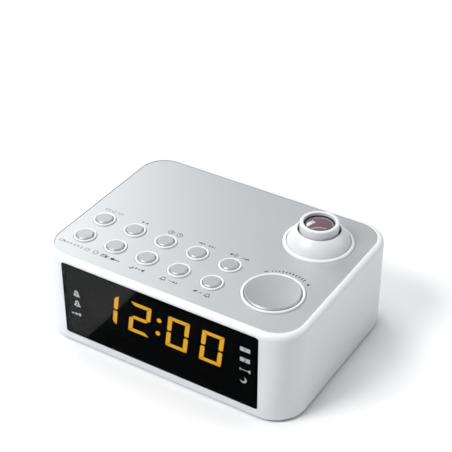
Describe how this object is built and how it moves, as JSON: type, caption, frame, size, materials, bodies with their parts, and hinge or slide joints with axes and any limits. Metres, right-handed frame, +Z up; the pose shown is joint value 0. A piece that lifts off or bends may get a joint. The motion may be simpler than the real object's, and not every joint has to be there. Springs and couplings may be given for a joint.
{
  "type": "projection alarm clock",
  "caption": "Box-shaped projection alarm clock radio with an LED display behind a smoked window, round top keys, a large snooze key and a swivelling ceiling projector.",
  "frame": {"origin": "middle of the cabinet's footprint, on the surface that the rubber feet stand on", "axes": "+X to the right of the display, along the longest side; +Y from the display to the rear sockets; +Z up"},
  "size_m": [0.172, 0.126, 0.0752],
  "materials": {
    "white_plastic": "satin",
    "projector_white": "satin",
    "silver_plate": "satin silver",
    "key_silver": "satin silver",
    "smoked_window": "glossy smoked",
    "display_black": "matte",
    "lit_amber": "lit",
    "unlit_segment": "matte",
    "lamp_chips": "satin",
    "circuit_board": "solder mask",
    "black_plastic": "matte",
    "black_rubber": "matte",
    "screw_steel": "zinc plated",
    "cell_steel": "plated",
    "magnet_iron": "matte",
    "cone_paper": "paper",
    "capacitor_sleeve": "gloss",
    "lens_glass": "polished",
    "lcd_glass": "polished",
    "red_lamp": "clear red"
  },
  "bodies": {
    "casing": {"cabinet": "white_plastic", "top_plate": "silver_plate", "front_window": "smoked_window", "display_mask": "display_black", "led_housing": "display_black", "lit_segments": "lit_amber", "dark_segments": "unlit_segment", "display_board": "circuit_board", "segment_lamps": "lamp_chips", "key_board": "circuit_board", "tact_switches": "black_plastic", "base_cover": "white_plastic", "rubber_feet": "black_rubber", "case_screws": "screw_steel", "board_screws": "screw_steel", "coin_cell": "cell_steel", "battery_contacts": "cell_steel", "speaker_frame": "screw_steel", "speaker_magnet": "magnet_iron", "speaker_cone": "cone_paper", "speaker_screws": "screw_steel", "main_board": "circuit_board", "radio_chip": "black_plastic", "tuner_can": "cell_steel", "capacitors": "capacitor_sleeve", "power_socket": "black_plastic", "power_socket_pin": "cell_steel", "audio_socket": "black_plastic", "aerial_gland": "black_rubber", "projector_retainer": "black_plastic", "retainer_screws": "screw_steel"},
    "projection_key": {"projection_key": "key_silver"},
    "source_key": {"source_key": "key_silver"},
    "sleep_key": {"sleep_key": "key_silver"},
    "alarm_1_key": {"alarm_1_key": "key_silver"},
    "alarm_2_key": {"alarm_2_key": "key_silver"},
    "rotate_key": {"rotate_key": "key_silver"},
    "band_key": {"band_key": "key_silver"},
    "clock_key": {"clock_key": "key_silver"},
    "tuning_key": {"tuning_key": "key_silver"},
    "volume_key": {"volume_key": "key_silver"},
    "snooze_key": {"snooze_key": "key_silver"},
    "battery_hatch": {"battery_hatch": "white_plastic"},
    "projector_cradle": {"projector_cradle": "black_plastic"},
    "projector_ball": {"projector_ball": "projector_white", "projection_lcd": "lcd_glass", "condenser_lens": "lens_glass", "lamp_board": "circuit_board", "projector_lamp": "red_lamp", "lamp_screws": "screw_steel"},
    "focus_ring": {"focus_ring": "projector_white"},
    "lens_cell": {"lens_cell": "black_plastic", "projection_lens": "lens_glass"}
  },
  "joints": [
    {"name": "projection_key_press", "type": "slide", "parent": "casing", "child": "projection_key", "axis": [0, 0, -1], "range_m": [0, 0.0008], "stiffness_N_per_m": 500, "springref_m": -0.0004},
    {"name": "source_key_press", "type": "slide", "parent": "casing", "child": "source_key", "axis": [0, 0, -1], "range_m": [0, 0.0008], "stiffness_N_per_m": 500, "springref_m": -0.0004},
    {"name": "sleep_key_press", "type": "slide", "parent": "casing", "child": "sleep_key", "axis": [0, 0, -1], "range_m": [0, 0.0008], "stiffness_N_per_m": 500, "springref_m": -0.0004},
    {"name": "alarm_1_key_press", "type": "slide", "parent": "casing", "child": "alarm_1_key", "axis": [0, 0, -1], "range_m": [0, 0.0008], "stiffness_N_per_m": 500, "springref_m": -0.0004},
    {"name": "alarm_2_key_press", "type": "slide", "parent": "casing", "child": "alarm_2_key", "axis": [0, 0, -1], "range_m": [0, 0.0008], "stiffness_N_per_m": 500, "springref_m": -0.0004},
    {"name": "rotate_key_press", "type": "slide", "parent": "casing", "child": "rotate_key", "axis": [0, 0, -1], "range_m": [0, 0.0008], "stiffness_N_per_m": 500, "springref_m": -0.0004},
    {"name": "band_key_press", "type": "slide", "parent": "casing", "child": "band_key", "axis": [0, 0, -1], "range_m": [0, 0.0008], "stiffness_N_per_m": 500, "springref_m": -0.0004},
    {"name": "clock_key_press", "type": "slide", "parent": "casing", "child": "clock_key", "axis": [0, 0, -1], "range_m": [0, 0.0008], "stiffness_N_per_m": 500, "springref_m": -0.0004},
    {"name": "tuning_key_press", "type": "slide", "parent": "casing", "child": "tuning_key", "axis": [0, 0, -1], "range_m": [0, 0.0008], "stiffness_N_per_m": 500, "springref_m": -0.0004},
    {"name": "volume_key_press", "type": "slide", "parent": "casing", "child": "volume_key", "axis": [0, 0, -1], "range_m": [0, 0.0008], "stiffness_N_per_m": 500, "springref_m": -0.0004},
    {"name": "snooze_key_press", "type": "slide", "parent": "casing", "child": "snooze_key", "axis": [0, 0, -1], "range_m": [0, 0.001], "stiffness_N_per_m": 700, "springref_m": -0.0004},
    {"name": "battery_hatch_turn", "type": "hinge", "parent": "casing", "child": "battery_hatch", "pos_m": [-0.048, -0.025, 0.0015], "axis": [0, 0, 1], "range_deg": [0, 35]},
    {"name": "projector_swivel", "type": "hinge", "parent": "casing", "child": "projector_cradle", "pos_m": [0.0526, 0.0289, 0.0548], "axis": [0, 0, 1], "range_deg": [-90, 90]},
    {"name": "projector_tilt", "type": "hinge", "parent": "projector_cradle", "child": "projector_ball", "pos_m": [0.0526, 0.0289, 0.0548], "axis": [1, 0, 0], "range_deg": [-20, 20]},
    {"name": "focus_turn", "type": "hinge", "parent": "projector_ball", "child": "focus_ring", "pos_m": [0.0526, 0.0289, 0.0548], "axis": [0, 0, 1], "range_deg": [-60, 60]},
    {"name": "focus_slide", "type": "slide", "parent": "projector_ball", "child": "lens_cell", "axis": [0, 0, 1], "range_m": [-0.0015, 0.0015]}
  ],
  "couplings": [
    {"joint": "focus_slide", "follows": "focus_turn", "m_per_rad": 0.0014}
  ]
}
